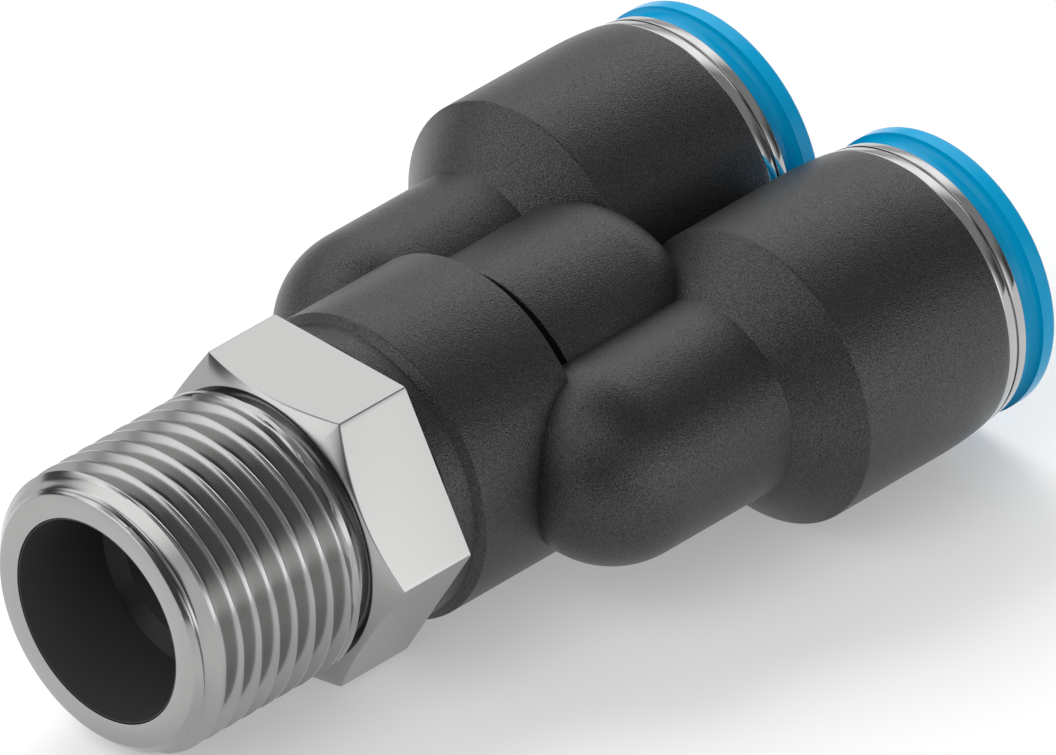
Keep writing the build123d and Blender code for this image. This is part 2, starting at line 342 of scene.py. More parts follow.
def finished(obj, material):
    """Close a piece's seams, turn its faces outward, shade it smooth and give it its material."""
    work = bmesh.new()
    work.from_mesh(obj.data)
    bmesh.ops.remove_doubles(work, verts=work.verts, dist=MERGE_DISTANCE)
    bmesh.ops.recalc_face_normals(work, faces=work.faces)
    work.to_mesh(obj.data)
    work.free()
    obj.data.polygons.foreach_set("use_smooth", [True] * len(obj.data.polygons))
    obj.data.set_sharp_from_angle(angle=SHARP_ANGLE)
    obj.data.materials.clear()
    obj.data.materials.append(material)
    if not obj.data.polygons:
        raise RuntimeError(f"{obj.name} came out empty")
    return obj


def add(tree, kind, inputs=None, **settings):
    """One node of a kind, with its settings, its inputs set to a value or linked to a socket."""
    made = tree.nodes.new(kind)
    for key, value in settings.items():
        setattr(made, key, value)
    for key, value in (inputs or {}).items():
        if isinstance(value, bpy.types.NodeSocket):
            tree.links.new(value, made.inputs[key])
        else:
            made.inputs[key].default_value = value
    return made


def maths(tree, operation, *values):
    """The result of a sum on numbers or sockets."""
    return add(tree, "ShaderNodeMath", dict(enumerate(values)), operation=operation).outputs[0]


def mixed(tree, share, first, second):
    """A colour between two, by a share."""
    inputs = {0: share, 6: first, 7: second}
    return add(tree, "ShaderNodeMix", inputs, data_type="RGBA").outputs[2]


# Materials

def blank(name):
    """A new material and its empty tree."""
    made = bpy.data.materials.new(name)
    made.use_nodes = True
    made.node_tree.nodes.clear()
    return made, made.node_tree


def plain(name, colour, rough, metallic=0.0):
    """A material of one colour and finish."""
    made, tree = blank(name)
    shader = add(tree, "ShaderNodeBsdfPrincipled", {
        "Base Color": linear(colour), "Roughness": rough, "Metallic": metallic,
    })
    add(tree, "ShaderNodeOutputMaterial", {"Surface": shader.outputs[0]})
    return made


def moulded_black_plastic(colour, bore_painted_light_colour, grain):
    """Glass-filled PBT moulded in a spark-eroded tool: black, with a fine even grain that breaks up
    the highlights into grey speckle. The spigot's bore, made by a polished core, is smooth. It carries
    painted light and shade: the bore is painted lighter than the body, its ledge darker and the
    passage behind it lighter, so that it looks evenly dark from the front."""
    made, tree = blank("black_pbt_spark_eroded")
    place_at = add(tree, "ShaderNodeTexCoord").outputs["Object"]
    along = add(tree, "ShaderNodeSeparateXYZ", {"Vector": place_at}).outputs[0]
    outside = maths(tree, "GREATER_THAN", along, NECK[0] * MM)
    pits = add(tree, "ShaderNodeTexNoise", {
        "Vector": place_at, "Scale": 1 / grain, "Detail": 2.0, "Roughness": 0.55,
    }).outputs["Fac"]
    cells = add(tree, "ShaderNodeTexVoronoi", {
        "Vector": place_at, "Scale": 0.8 / grain,
    }).outputs["Distance"]
    height = maths(tree, "ADD", pits, maths(tree, "MULTIPLY", cells, 0.6))
    bump = add(tree, "ShaderNodeBump", {
        "Height": height, "Strength": outside, "Distance": 0.3 * grain,
    }).outputs[0]
    speckle = add(tree, "ShaderNodeMapRange", {
        "Value": pits, "From Min": 0.35, "From Max": 0.65, "To Min": 0.24, "To Max": 0.78,
    }).outputs[0]
    sheen = add(tree, "ShaderNodeMix", {0: outside, 2: 0.5, 3: speckle}).outputs[0]
    # Painted light and shade in the bore, by place along the axis: bore lighter than the body, ledge
    # darker, passage lighter
    deep = maths(tree, "GREATER_THAN", along, (MOUTH_BORE[0] - 0.02) * MM)
    ledge = maths(tree, "MULTIPLY", deep, maths(tree, "LESS_THAN", along, (MAIN_BORE_X + 0.02) * MM))
    inside = mixed(tree, deep, bore_painted_light_colour, linear(PASSAGE_PAINTED_LIGHT))
    inside = mixed(tree, ledge, inside, linear(LEDGE_PAINTED_SHADE))
    shade = mixed(tree, outside, inside, colour)
    index = maths(tree, "ADD", 1.35, maths(tree, "MULTIPLY", outside, 0.23))
    shader = add(tree, "ShaderNodeBsdfPrincipled", {
        "Base Color": shade, "Roughness": 0.33, "IOR": index, "Specular IOR Level": sheen, "Normal": bump,
    })
    add(tree, "ShaderNodeOutputMaterial", {"Surface": shader.outputs[0]})
    return made


def turned_metal(name, colour, rough, mark, strength):
    """Nickel-plated turned brass: bright grey metal whose fine tool marks run round the axis."""
    made, tree = blank(name)
    place_at = add(tree, "ShaderNodeTexCoord").outputs["Object"]
    split = add(tree, "ShaderNodeSeparateXYZ", {"Vector": place_at}).outputs
    radius = add(tree, "ShaderNodeVectorMath", {
        0: add(tree, "ShaderNodeCombineXYZ", {"X": split[1], "Y": split[2]}).outputs[0],
    }, operation="LENGTH").outputs["Value"]
    along = add(tree, "ShaderNodeCombineXYZ", {"X": split[0], "Y": radius}).outputs[0]
    lines = add(tree, "ShaderNodeTexNoise", {
        "Vector": along, "Scale": 1 / mark, "Detail": 1.0,
    }).outputs["Fac"]
    bump = add(tree, "ShaderNodeBump", {"Height": lines, "Strength": strength, "Distance": 0.1 * mark})
    shader = add(tree, "ShaderNodeBsdfPrincipled", {
        "Base Color": colour, "Metallic": 1.0, "Roughness": rough, "Normal": bump.outputs[0],
    })
    add(tree, "ShaderNodeOutputMaterial", {"Surface": shader.outputs[0]})
    return made


def moulded_blue_plastic(colour):
    """POM moulded smooth: an even saturated blue with a soft sheen."""
    made, tree = blank("blue_pom_moulded")
    shader = add(tree, "ShaderNodeBsdfPrincipled", {
        "Base Color": colour, "Roughness": 0.22, "IOR": 1.48, "Specular IOR Level": 0.18,
    })
    add(tree, "ShaderNodeOutputMaterial", {"Surface": shader.outputs[0]})
    return made


def seen_rays(tree):
    """1 where the camera looks, directly or in a mirror or through glass."""
    path = add(tree, "ShaderNodeLightPath").outputs
    mirrored = maths(tree, "MAXIMUM", path["Is Glossy Ray"], path["Is Transmission Ray"])
    return maths(tree, "MAXIMUM", path["Is Camera Ray"], mirrored)


# Geometry Nodes trees

def new_tree(name, sockets):
    """A Geometry Nodes tree with a geometry in and out and the named inputs, and its input's sockets."""
    tree = bpy.data.node_groups.new(name, "GeometryNodeTree")
    face = tree.interface
    face.new_socket("Geometry", in_out="OUTPUT", socket_type="NodeSocketGeometry")
    face.new_socket("Geometry", in_out="INPUT", socket_type="NodeSocketGeometry")
    for label, kind in sockets:
        face.new_socket(label, in_out="INPUT", socket_type=kind)
    return tree, add(tree, "NodeGroupInput").outputs


def run_tree(tree, obj, values, name):
    """Put the tree on the object, its inputs set by identifier, and bake the result to a plain object."""
    made = obj.modifiers.new(tree.name, "NODES")
    made.node_group = tree
    for item in tree.interface.items_tree:
        if item.item_type == "SOCKET" and item.in_out == "INPUT" and item.name in values:
            made[item.identifier] = values[item.name]
    return baked(obj, name)


def thread_tree():
    """A pipe thread as a sheet wound on a helix: straight flanks, round roots, cut off by the end chamfer
    and running out before the hexagon. Its rows follow the helix, so crests and roots stay crisp."""
    numbers = ["Pitch", "Crest Radius", "Depth", "Root Round", "Flank Slope", "First", "Start", "End",
               "End Radius", "Chamfer", "Run Out", "Run Out Length"]
    whole = ["Columns", "Rows", "Rows Per Pitch"]
    tree, given = new_tree("pipe_thread", [(n, "NodeSocketFloat") for n in numbers]
                           + [(n, "NodeSocketInt") for n in whole] + [("Material", "NodeSocketMaterial")])

    def m(operation, *values):
        return maths(tree, operation, *values)

    grid = add(tree, "GeometryNodeMeshGrid", {
        "Size X": 1.0, "Size Y": given["Rows"],
        "Vertices X": m("ADD", given["Columns"], 1), "Vertices Y": m("ADD", given["Rows"], 1),
    })
    position = add(tree, "GeometryNodeInputPosition").outputs[0]
    at = add(tree, "ShaderNodeSeparateXYZ", {"Vector": position}).outputs
    turn = m("ADD", at[0], 0.5)
    row = m("ROUND", m("ADD", at[1], m("MULTIPLY", given["Rows"], 0.5)))
    turns = m("DIVIDE", row, given["Rows Per Pitch"])
    x = m("ADD", m("ADD", given["First"], m("MULTIPLY", turns, given["Pitch"])),
          m("MULTIPLY", turn, given["Pitch"]))
    x = m("MINIMUM", m("MAXIMUM", x, given["Start"]), given["End"])
    part = m("FRACT", m("ADD", turns, 1e-4))
    off = m("MULTIPLY", m("ABSOLUTE", m("SUBTRACT", part, 0.5)), given["Pitch"])
    root = m("SUBTRACT", given["Crest Radius"], given["Depth"])
    low = m("MULTIPLY", given["Root Round"], given["Root Round"])
    hollow = m("SUBTRACT", given["Root Round"],
               m("SQRT", m("MAXIMUM", m("SUBTRACT", low, m("MULTIPLY", off, off)), 0.0)))
    steep = m("ADD", 1.0, m("MULTIPLY", given["Flank Slope"], given["Flank Slope"]))
    cosine = m("DIVIDE", given["Flank Slope"], m("SQRT", steep))
    sine = m("DIVIDE", cosine, given["Flank Slope"])
    touch = m("MULTIPLY", given["Root Round"], cosine)
    flank = m("ADD", m("MULTIPLY", given["Root Round"], m("SUBTRACT", 1.0, sine)),
              m("MULTIPLY", m("SUBTRACT", off, touch), given["Flank Slope"]))
    on_flank = m("GREATER_THAN", off, touch)
    rise = m("ADD", m("MULTIPLY", on_flank, flank), m("MULTIPLY", m("SUBTRACT", 1.0, on_flank), hollow))
    radius = m("MINIMUM", m("ADD", root, rise), given["Crest Radius"])
    past = m("DIVIDE", m("SUBTRACT", x, given["Run Out"]), given["Run Out Length"])
    fade = m("MINIMUM", m("MAXIMUM", past, 0.0), 1.0)
    radius = m("MAXIMUM", radius, m("ADD", root, m("MULTIPLY", given["Depth"], fade)))
    bevel = m("ADD", given["End Radius"], m("MULTIPLY", m("DIVIDE", x, given["Chamfer"]),
                                            m("SUBTRACT", given["Crest Radius"], given["End Radius"])))
    radius = m("MINIMUM", radius, bevel)
    angle = m("MULTIPLY", turn, 2 * math.pi)
    spot = add(tree, "ShaderNodeCombineXYZ", {
        "X": x, "Y": m("MULTIPLY", radius, m("COSINE", angle)),
        "Z": m("MULTIPLY", radius, m("SINE", angle)),
    })
    moved = add(tree, "GeometryNodeSetPosition", {"Geometry": grid.outputs[0], "Position": spot.outputs[0]})
    closed = add(tree, "GeometryNodeMergeByDistance", {"Geometry": moved.outputs[0], "Distance": 1.5e-6})
    real = add(tree, "GeometryNodeRealizeInstances", {"Geometry": closed.outputs[0]})
    shown = add(tree, "GeometryNodeSetMaterial", {
        "Geometry": real.outputs[0], "Material": given["Material"],
    })
    add(tree, "NodeGroupOutput", {"Geometry": shown.outputs[0]})
    return tree


def slots_tree():
    """Cuts a ring of even radial slots into a turned piece, so that what is left are sprung fingers."""
    tree, given = new_tree("finger_slots", [
        ("Fingers", "NodeSocketInt"), ("Width", "NodeSocketFloat"), ("Inner Radius", "NodeSocketFloat"),
        ("Outer Radius", "NodeSocketFloat"), ("Back", "NodeSocketFloat"), ("Front", "NodeSocketFloat"),
        ("Centre Y", "NodeSocketFloat"), ("Material", "NodeSocketMaterial"),
    ])

    def m(operation, *values):
        return maths(tree, operation, *values)

    depth = m("SUBTRACT", given["Outer Radius"], given["Inner Radius"])
    length = m("SUBTRACT", given["Front"], given["Back"])
    size = add(tree, "ShaderNodeCombineXYZ", {"X": length, "Y": depth, "Z": given["Width"]}).outputs[0]
    cutter = add(tree, "GeometryNodeMeshCube", {"Size": size}).outputs[0]
    out = m("MULTIPLY", m("ADD", given["Outer Radius"], given["Inner Radius"]), 0.5)
    shift = add(tree, "ShaderNodeCombineXYZ", {"X": 0.0, "Y": out}).outputs[0]
    cutter = add(tree, "GeometryNodeTransform", {"Geometry": cutter, "Translation": shift}).outputs[0]
    points = add(tree, "GeometryNodeMeshLine", {
        "Count": given["Fingers"], "Offset": (0.0, 0.0, 0.0),
    }).outputs[0]
    index = add(tree, "GeometryNodeInputIndex").outputs[0]
    turn = m("DIVIDE", m("MULTIPLY", index, 2 * math.pi), given["Fingers"])
    spin = add(tree, "ShaderNodeCombineXYZ", {"X": turn}).outputs[0]
    ring = add(tree, "GeometryNodeInstanceOnPoints", {
        "Points": points, "Instance": cutter, "Rotation": spin,
    }).outputs[0]
    middle = m("MULTIPLY", m("ADD", given["Front"], given["Back"]), 0.5)
    centre = add(tree, "ShaderNodeCombineXYZ", {"X": middle, "Y": given["Centre Y"]}).outputs[0]
    ring = add(tree, "GeometryNodeTransform", {"Geometry": ring, "Translation": centre}).outputs[0]
    ring = add(tree, "GeometryNodeRealizeInstances", {"Geometry": ring}).outputs[0]
    both = {"Mesh 1": given["Geometry"], "Mesh 2": ring}
    cut = add(tree, "GeometryNodeMeshBoolean", both, operation="DIFFERENCE")
    real = add(tree, "GeometryNodeRealizeInstances", {"Geometry": cut.outputs[0]})
    shown = add(tree, "GeometryNodeSetMaterial", {
        "Geometry": real.outputs[0], "Material": given["Material"],
    })
    add(tree, "NodeGroupOutput", {"Geometry": shown.outputs[0]})
    return tree


# Shapes of the pieces

def hexagon_rows(edge):
    """The hexagon's rows as lists of points, from its front face to its rear one. Its six long edges are
    rounded by edge, and the front cone meets each flat along a curve that the rows follow."""
    turn = math.radians(30)
    inner = (HEX_FLAT_R - edge) / math.cos(turn)
    touch = math.atan2(edge * math.sin(turn), inner + edge * math.cos(turn))
    third = touch / 3
    offsets = [0.0, third, 2 * third, touch]
    steps = COLUMNS // 12
    offsets += [touch + (turn - touch) * k / (steps - 3) for k in range(1, steps - 2)]
    angles, radii = [], []
    for j in range(COLUMNS):
        corner, k = divmod(j, 2 * steps)
        near = k if k <= steps else 2 * steps - k
        side = 1 if k <= steps else -1
        base = corner * 2 * turn if k <= steps else (corner + 1) * 2 * turn
        off = offsets[near]
        angles.append(base + side * off)
        if off < touch:
            radii.append(inner * math.cos(off) + math.sqrt(edge ** 2 - (inner * math.sin(off)) ** 2))
        else:
            radii.append(HEX_FLAT_R / math.cos(turn - off))
    angles, radii = np.array(angles), np.array(radii)
    cone_end = HEX_FRONT + (radii - HEX_FRONT_R) * math.tan(HEX_BEVEL)
    ahead = np.array((math.sin(HEX_BEVEL), math.cos(HEX_BEVEL)))
    rows = []

    def row(x, r):
        x = np.broadcast_to(x, angles.shape)
        r = np.broadcast_to(r, angles.shape)
        rows.append([(a, b * math.cos(t), b * math.sin(t)) for a, b, t in zip(x, r, angles)])

    soft = HEX_FRONT_SOFT
    row(HEX_FRONT, HEX_FRONT_R - soft)
    row(HEX_FRONT + soft * ahead[0] * 0.3, HEX_FRONT_R - soft * 0.2)
    row(HEX_FRONT + soft * ahead[0], HEX_FRONT_R + soft * ahead[1])
    reach = HEX_ARC_SOFT
    for k in range(5):
        t = k / 4
        start = (cone_end - reach * ahead[0], radii - reach * ahead[1])
        end = (cone_end + reach, radii)
        keep = (1 - t) ** 2
        both = 2 * t * (1 - t)
        row(keep * start[0] + both * cone_end + t * t * end[0],
            keep * start[1] + both * radii + t * t * end[1])
    row(HEX_REAR - HEX_REAR_SOFT, radii)
    row(HEX_REAR, radii - HEX_REAR_SOFT)
    return rows


def stud_sheet(edge):
    """Everything of the stud but its thread: end face, bore with its two grooves, hexagon and undercut."""
    low, high, wide, _ = WIRE_GROOVE
    front, back, deep = O_RING_GROOVE
    slope = (THREAD_R - THREAD_END_R) / THREAD_CHAMFER
    edge_r = THREAD_END_R + THREAD_START * slope
    inside = [
        (HEX_REAR, STUD_BORE_R + 0.15), (HEX_REAR - 0.15, STUD_BORE_R), (back, STUD_BORE_R),
        (back, deep), (front, deep), (front, STUD_BORE_R),
        (high, STUD_BORE_R), (high, wide), (low, wide), (low, STUD_BORE_R),
        (0.04, STUD_BORE_R), (0.01, STUD_BORE_R + 0.01), (0.0, STUD_BORE_R + 0.04),
        (0.0, THREAD_END_R - 0.06), (0.01, THREAD_END_R - 0.015), (THREAD_START, edge_r),
    ]
    outside = [
        (THREAD_END, THREAD_R), (THREAD_END + 0.03, THREAD_R - 0.03), (THREAD_END + 0.03, UNDERCUT_R + 0.1),
        (THREAD_END + 0.13, UNDERCUT_R), (HEX_FRONT - 0.1, UNDERCUT_R), (HEX_FRONT, UNDERCUT_R + 0.1),
    ]
    angles = np.arange(COLUMNS) * 2 * math.pi / COLUMNS

    def circle(x, r):
        return [(x, r * math.cos(a), r * math.sin(a)) for a in angles]

    first = [circle(*p) for p in outside] + hexagon_rows(edge)
    rows = first + [circle(*p) for p in inside]
    points = [p for row in rows for p in row]
    faces = []
    for i in range(len(rows) - 1):
        for j in range(COLUMNS):
            k = (j + 1) % COLUMNS
            faces.append([i * COLUMNS + j, (i + 1) * COLUMNS + j, (i + 1) * COLUMNS + k, i * COLUMNS + k])
    return points, faces


def body_solids():
    """The body's outer forms and its passages, each as a closed turned solid or a block."""
    low, high, _, floor_r = WIRE_GROOVE
    run = rounded([
        (SPIGOT_FRONT, 0, 0), (CORE[1], 0, 0), (CORE[1], CORE[2], CORE_ROUND), (CORE[0], CORE[2], 0.12),
        (CORE[0], SLOT_R, 0.1), (BARREL[1], SLOT_R, 0.1),
        (BARREL[1], BARREL[2], 0.12), (BARREL[0], BARREL[2], 0.12),
        (NECK[1], NECK[2], 0), (NECK[0], NECK[2], 0.08), (NECK[0], SPIGOT_R, 0), (high, SPIGOT_R, 0),
        (high, floor_r, 0), (low, floor_r, 0), (low, SPIGOT_R, 0), (SPIGOT_FRONT, SPIGOT_R, 0),
    ], 6)
    outer = [turned(run, BODY_COLUMNS)]
    for side in (1, -1):
        nose = arc(NOSE_X, 0, LOBE_R, 180, 90, 32)
        radius = ((MOUTH_X - TAPER_X) ** 2 + (SOCKET_R - MOUTH_R) ** 2) / (2 * (SOCKET_R - MOUTH_R))
        reach = math.degrees(math.asin((MOUTH_X - TAPER_X) / radius))
        taper = arc(TAPER_X, SOCKET_R - radius, radius, 90, 90 - reach, 10)[:-1]
        nose[0] = (nose[0][0], 0.0)
        shoulder = rounded([
            (CONE_X, LOBE_R, 0), (SOCKET_X, SOCKET_R, 0.25), (TAPER_X, SOCKET_R, 0),
        ], 5)[1:-1]
        mouth = [
            (MOUTH_X - 0.12, MOUTH_R + 0.01), (MOUTH_X - 0.03, MOUTH_R - 0.03),
            (MOUTH_X, MOUTH_R - 0.12), (MOUTH_X, 0),
        ]
        branch = nose + [(CONE_X, LOBE_R)] + shoulder + taper + mouth
        outer.append(turned(branch, BODY_COLUMNS, side * BRANCH_Y))
    half_wide, half_tall = RIB[2] / 2, RIB[3] / 2
    corners = [(x, y, z) for x in RIB[:2] for y in (-half_wide, half_wide) for z in (-half_tall, half_tall)]
    sides = [[0, 1, 3, 2], [4, 6, 7, 5], [0, 4, 5, 1], [2, 3, 7, 6], [0, 2, 6, 4], [1, 5, 7, 3]]
    outer.append((corners, sides))
    bores = [turned([
        (-1, 0), (-1, SPIGOT_R - 0.04), (SPIGOT_FRONT, SPIGOT_R - 0.04), (MOUTH_LEAD_IN, MOUTH_BORE[1]),
        (MOUTH_BORE[0], MOUTH_BORE[1]), (MAIN_BORE_X, MAIN_BORE_R),
        (MAIN_BORE_END[0], MAIN_BORE_R), (MAIN_BORE_END[1], MAIN_BORE_END[2]), (MAIN_BORE_END[1], 0),
    ], BORE_COLUMNS)]
    for side in (1, -1):
        bores.append(turned([
            (PASSAGE_X, 0), (PASSAGE_X, PASSAGE_R - PASSAGE_BEVEL), (PASSAGE_X + PASSAGE_BEVEL, PASSAGE_R),
            (STOP_X + 0.1, PASSAGE_R), (STOP_X + 0.1, 0),
        ], PASSAGE_COLUMNS, side * PASSAGE_Y))
        bores.append(turned([
            (STOP_X, 0), (STOP_X, TUBE_BORE_R), (SEAL_X, TUBE_BORE_R), (SEAL_X, SEAL_CHAMBER_R),
            (WASHER_X, SEAL_CHAMBER_R), (WASHER_X, COLLAR_SEAT_R),
            (MOUTH_X + 1, COLLAR_SEAT_R), (MOUTH_X + 1, 0),
        ], BORE_COLUMNS, side * BRANCH_Y))
    return outer, bores


def collar_section():
    """The collar's section: grooved band and mouth outside the socket, lip and locking cone inside."""
    back, front, deep = GROOVE
    at_groove = (COLLAR_BACK_R + COLLAR_FRONT_R) / 2
    return rounded([
        (SLEEVE_X, COLLAR_BORE_R, 0.03), (SLEEVE_X, SLEEVE_R, 0.1),
        (MOUTH_X, SLEEVE_R, 0), (MOUTH_X, COLLAR_BACK_R, 0.05),
        (back, at_groove, 0.04), (back, at_groove - deep, 0),
        (front, at_groove - deep, 0), (front, at_groove, 0.04),
        (COLLAR_END, COLLAR_FRONT_R, 0.09), (COLLAR_END, COLLAR_MOUTH_R, 0.09), (LIP[2], COLLAR_MOUTH_R, 0),
        (LIP[2], LIP[3], 0.08), (LIP[1], LIP[3], 0), (LIP[0], COLLAR_BORE_R, 0),
    ], 5)


def ring_section():
    """The release ring's section: rim, round-cornered neck, and the fingers with head and tooth pocket."""
    neck = arc(RIM_BACK - NECK_ROUND, RING_NECK_R + NECK_ROUND, NECK_ROUND, 0, -90, 12)
    rim = rounded([
        (RING_FRONT, RING_BORE_R + LEAD_IN, 0), (RING_FRONT, RIM_R, RIM_ROUND), (RIM_BACK, RIM_R, 0.0),
    ], 8)[1:]
    inside = rounded([
        (RING_NECK_X, RING_NECK_R, 0.06), (RING_NECK_X, FINGER_R, 0),
        (HEAD_CONE[1], FINGER_R, 0), (HEAD_CONE[0], HEAD_R, 0.08),
        (FINGER_X + HEAD_BEVEL, HEAD_R, 0), (FINGER_X, HEAD_R - HEAD_BEVEL, 0),
        (FINGER_X, RING_BORE_R, 0.08),
        (TOOTH_POCKET[0], RING_BORE_R, 0), (TOOTH_POCKET[0], TOOTH_POCKET[2], 0),
        (TOOTH_POCKET[1], TOOTH_POCKET[2], 0), (TOOTH_POCKET[1], RING_BORE_R, 0),
        (RING_FRONT - LEAD_IN, RING_BORE_R, 0.3), (RING_FRONT, RING_BORE_R + LEAD_IN, 0.12),
    ], 4)
    return rim + neck + inside


# Settings that a user would change

class StudSettings(bpy.types.PropertyGroup):
    pitch: bpy.props.FloatProperty(
        name="Thread pitch", description="Distance from crest to crest, 19 turns an inch",
        default=1.3368 * MM, unit="LENGTH", precision=5)
    depth: bpy.props.FloatProperty(
        name="Thread depth", description="Crest to root of the pipe thread",
        default=0.856 * MM, unit="LENGTH", precision=5)
    first_crest: bpy.props.FloatProperty(
        name="First crest", description="Place of the first crest along the axis, on the +Y side",
        default=0.671 * MM, unit="LENGTH", precision=5)
    edge: bpy.props.FloatProperty(
        name="Edge rounding", description="Radius on the hexagon's six long edges",
        default=0.13 * MM, unit="LENGTH", precision=5)
    colour: bpy.props.FloatVectorProperty(
        name="Plating colour", description="Colour of the nickel plating",
        default=linear("a3a3a2"), size=4, subtype="COLOR")


class BodySettings(bpy.types.PropertyGroup):
    grain: bpy.props.FloatProperty(
        name="Grain size", description="Width of one pit of the moulded grain",
        default=0.08 * MM, unit="LENGTH", precision=5)
    colour: bpy.props.FloatVectorProperty(
        name="Body colour", description="Colour of the moulded body",
        default=linear("141415"), size=4, subtype="COLOR")
    # Painted light: the bore is coloured lighter than the body so that it doesn't go as dark as its depth
    # makes it
    bore_painted_light_colour: bpy.props.FloatVectorProperty(
        name="Bore colour", description="Colour of the smooth bore inside the stud",
        default=linear("3a3a3b"), size=4, subtype="COLOR")


class PortSettings(bpy.types.PropertyGroup):
    ring_colour: bpy.props.FloatVectorProperty(
        name="Ring colour", description="Colour of the release rings",
        default=linear("0096c6"), size=4, subtype="COLOR")
    collar_colour: bpy.props.FloatVectorProperty(
        name="Collar colour", description="Colour of the polished collars",
        default=linear("b4b4b4"), size=4, subtype="COLOR")
    fingers: bpy.props.IntProperty(
        name="Fingers", description="Sprung fingers of each release ring",
        default=FINGERS, subtype="UNSIGNED", min=2, max=12)


class StageSettings(bpy.types.PropertyGroup):
    floor_colour: bpy.props.FloatVectorProperty(
        name="Floor colour", description="Colour of the plain floor",
        default=linear("f4f4f4"), size=4, subtype="COLOR")
    floor_lift: bpy.props.FloatProperty(
        name="Floor white",
        description="Share of plain white in the floor where the camera or a mirror looks",
        default=0.32, subtype="FACTOR", min=0, max=1)
    key_power: bpy.props.FloatProperty(
        name="Key light", description="Power of the lamp over the left side",
        default=2.5, unit="POWER")
    front_power: bpy.props.FloatProperty(
        name="Front light", description="Power of the lamp before the threaded end",
        default=1.6, unit="POWER")
    light_level: bpy.props.FloatProperty(
        name="Softboxes", description="Brightness of all the softboxes together",
        default=1.2, subtype="FACTOR", min=0, soft_max=2)
    room_level: bpy.props.FloatProperty(
        name="Room", description="Brightness of the room between the softboxes",
        default=0.08, subtype="FACTOR", min=0, soft_max=1)


# Operators, one for each piece or group of like pieces

class CONNECTOR_OT_stud(bpy.types.Operator):
    """Make the threaded stud: pipe thread, undercut, hexagon and bore"""
    bl_idname = "connector.stud"
    bl_label = "Threaded stud"

    def execute(self, context):
        say = context.scene.connector_stud
        # The plating fills the stud's tool marks, so that their bump is nil here
        metal = turned_metal("nickel_plated_brass_turned", tuple(say.colour), 0.17, 0.05 * MM, 0.0)
        cell = say.pitch / ROWS_PER_PITCH
        slope = 1 / math.tan(FLANK_HALF_ANGLE)
        half_left = (ROWS_PER_PITCH / 2 - CREST_ROWS) * cell
        cosine = math.cos(FLANK_HALF_ANGLE)
        sine = math.sin(FLANK_HALF_ANGLE)
        root_round = (half_left * slope - say.depth) / (cosine * slope - (1 - sine))
        first = say.first_crest - 2 * say.pitch
        rows = math.ceil((THREAD_END * MM - first) / cell)
        values = {
            "Pitch": say.pitch, "Crest Radius": THREAD_R * MM, "Depth": say.depth, "Root Round": root_round,
            "Flank Slope": slope, "First": first, "Start": THREAD_START * MM, "End": THREAD_END * MM,
            "End Radius": THREAD_END_R * MM, "Chamfer": THREAD_CHAMFER * MM, "Run Out": RUN_OUT * MM,
            "Run Out Length": RUN_OUT_LENGTH * MM, "Columns": COLUMNS, "Rows": rows,
            "Rows Per Pitch": ROWS_PER_PITCH, "Material": metal,
        }
        seed = place("thread_seed", bpy.data.meshes.new("thread_seed"))
        thread = run_tree(thread_tree(), seed, values, "thread")
        sheet = mesh_of("sheet", *stud_sheet(say.edge / MM))
        work = bmesh.new()
        work.from_mesh(thread.data)
        work.from_mesh(sheet)
        whole = bpy.data.meshes.new("stud_finished")
        work.to_mesh(whole)
        work.free()
        bpy.data.objects.remove(thread)
        piece = finished(place("stud_finished", whole), metal)
        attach(piece, "stud")
        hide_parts("threaded_stud")
        return {"FINISHED"}


class CONNECTOR_OT_body(bpy.types.Operator):
    """Make the moulded body with its lobes, sockets and passages"""
    bl_idname = "connector.body"
    bl_label = "Moulded body"

    def execute(self, context):
        say = context.scene.connector_body
        plastic = moulded_black_plastic(tuple(say.colour), tuple(say.bore_painted_light_colour), say.grain)
        outer, bores = body_solids()
        joined = raw(carved("body_outside", outer[0], outer[1:], "UNION"))
        piece = finished(carved("y_body_finished", joined, bores, "DIFFERENCE"), plastic)
        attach(piece, "body")
        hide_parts("y_body")
        return {"FINISHED"}


class CONNECTOR_OT_collars(bpy.types.Operator):
    """Make the two polished collars"""
    bl_idname = "connector.collars"
    bl_label = "Port collars"

    def execute(self, context):
        colour = tuple(context.scene.connector_ports.collar_colour)
        metal = turned_metal("nickel_plated_brass_polished", colour, 0.09, 0.03 * MM, 0.02)
        for side, word in ((1, "left"), (-1, "right")):
            mesh = mesh_of("collar", *turned(collar_section(), PORT_COLUMNS, side * BRANCH_Y))
            piece = finished(place(f"port_collar_{word}_finished", mesh), metal)
            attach(piece, "body")
            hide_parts(f"port_collar_{word}")
        return {"FINISHED"}


class CONNECTOR_OT_rings(bpy.types.Operator):
    """Make the two release rings with their slotted fingers"""
    bl_idname = "connector.rings"
    bl_label = "Release rings"

    def execute(self, context):
        say = context.scene.connector_ports
        plastic = moulded_blue_plastic(tuple(say.ring_colour))
        tree = slots_tree()
        for side, word in ((1, "left"), (-1, "right")):
            mesh = mesh_of("ring", *turned(ring_section(), PORT_COLUMNS, side * BRANCH_Y))
            blank_ring = place("ring", mesh)
            values = {
                "Fingers": say.fingers, "Width": FINGER_SLOT * MM, "Inner Radius": (RING_BORE_R - 0.5) * MM,
                "Outer Radius": (HEAD_R + 0.5) * MM,
                "Back": (FINGER_X - 0.5) * MM, "Front": FINGER_ROOT * MM,
                "Centre Y": side * BRANCH_Y * MM, "Material": plastic,
            }
            piece = finished(run_tree(tree, blank_ring, values, f"release_ring_{word}_finished"), plastic)
            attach(piece, f"ring_{word}")
            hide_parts(f"release_ring_{word}")
        return {"FINISHED"}


